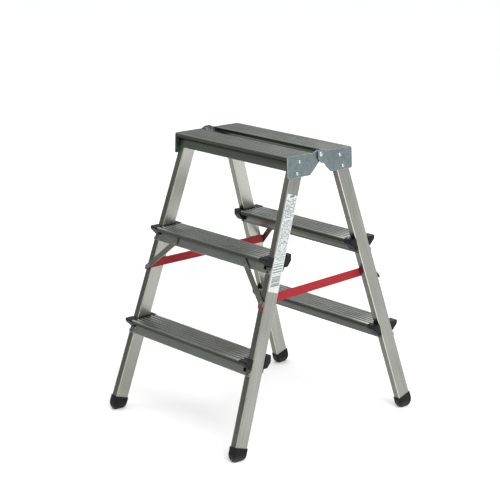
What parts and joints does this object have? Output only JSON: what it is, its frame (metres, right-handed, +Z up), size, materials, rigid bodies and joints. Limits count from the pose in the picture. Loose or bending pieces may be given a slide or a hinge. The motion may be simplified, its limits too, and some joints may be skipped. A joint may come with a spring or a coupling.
{
  "type": "folding double-sided step stool",
  "caption": "Free-standing folding aluminium step stool with ribbed treads climbed from either side, riveted hinge plates, limit straps and rubber feet",
  "frame": {"origin": "centre of the footprint at floor level, midway between the four feet", "axes": "+Z up, +X to the right for a person facing the front frame, +Y from the front frame to the rear frame"},
  "size_m": [0.4938, 0.6046, 0.7053],
  "materials": {
    "stile_aluminium": "satin mill-finish extruded aluminium with fine lengthwise die lines",
    "tread_aluminium": "satin extruded aluminium with fine ribs",
    "brace_aluminium": "satin flat bar",
    "plate_zinc": "zinc-coated pressed steel, slightly blue-grey",
    "rivet_metal": "bright domed blind rivets",
    "step_rivet_dark": "blackened domed rivets",
    "cap_plastic": "black moulded plastic with a fine grain",
    "foot_rubber": "black moulded rubber",
    "strap_webbing": "red woven polyester webbing",
    "label_vinyl": "white vinyl sticker with plain grey marks and no lettering"
  },
  "bodies": {
    "front_frame": {"front_brace_left": "brace_aluminium", "front_brace_right": "brace_aluminium", "front_brace_rivets": "brace_aluminium", "front_end_cap_bottom_left": "cap_plastic", "front_end_cap_bottom_right": "cap_plastic", "front_end_cap_middle_left": "cap_plastic", "front_end_cap_middle_right": "cap_plastic", "front_foot_left": "foot_rubber", "front_foot_right": "foot_rubber", "front_hinge_plate_left": "plate_zinc", "front_hinge_plate_right": "plate_zinc", "front_plate_rivets": "rivet_metal", "front_step_rivets": "step_rivet_dark", "front_stile_left": "stile_aluminium", "front_stile_right": "stile_aluminium", "front_tread_bottom": "tread_aluminium", "front_tread_middle": "tread_aluminium", "front_tread_top": "tread_aluminium", "hinge_pin_left": "rivet_metal", "hinge_pin_right": "rivet_metal", "label_front_right": "label_vinyl", "strap_left": "strap_webbing", "strap_right": "strap_webbing"},
    "rear_frame": {"rear_brace_left": "brace_aluminium", "rear_brace_right": "brace_aluminium", "rear_brace_rivets": "brace_aluminium", "rear_end_cap_bottom_left": "cap_plastic", "rear_end_cap_bottom_right": "cap_plastic", "rear_end_cap_middle_left": "cap_plastic", "rear_end_cap_middle_right": "cap_plastic", "rear_foot_left": "foot_rubber", "rear_foot_right": "foot_rubber", "rear_hinge_plate_left": "plate_zinc", "rear_hinge_plate_right": "plate_zinc", "rear_plate_rivets": "rivet_metal", "rear_step_rivets": "step_rivet_dark", "rear_stile_left": "stile_aluminium", "rear_stile_right": "stile_aluminium", "rear_tread_bottom": "tread_aluminium", "rear_tread_middle": "tread_aluminium", "rear_tread_top": "tread_aluminium"}
  },
  "joints": [
    {"name": "fold", "type": "hinge", "parent": "front_frame", "child": "rear_frame", "pos_m": [0, 0, 0.695], "axis": [-1, 0, 0], "range_deg": [0, 40], "deforming": ["strap_left", "strap_right"]}
  ]
}
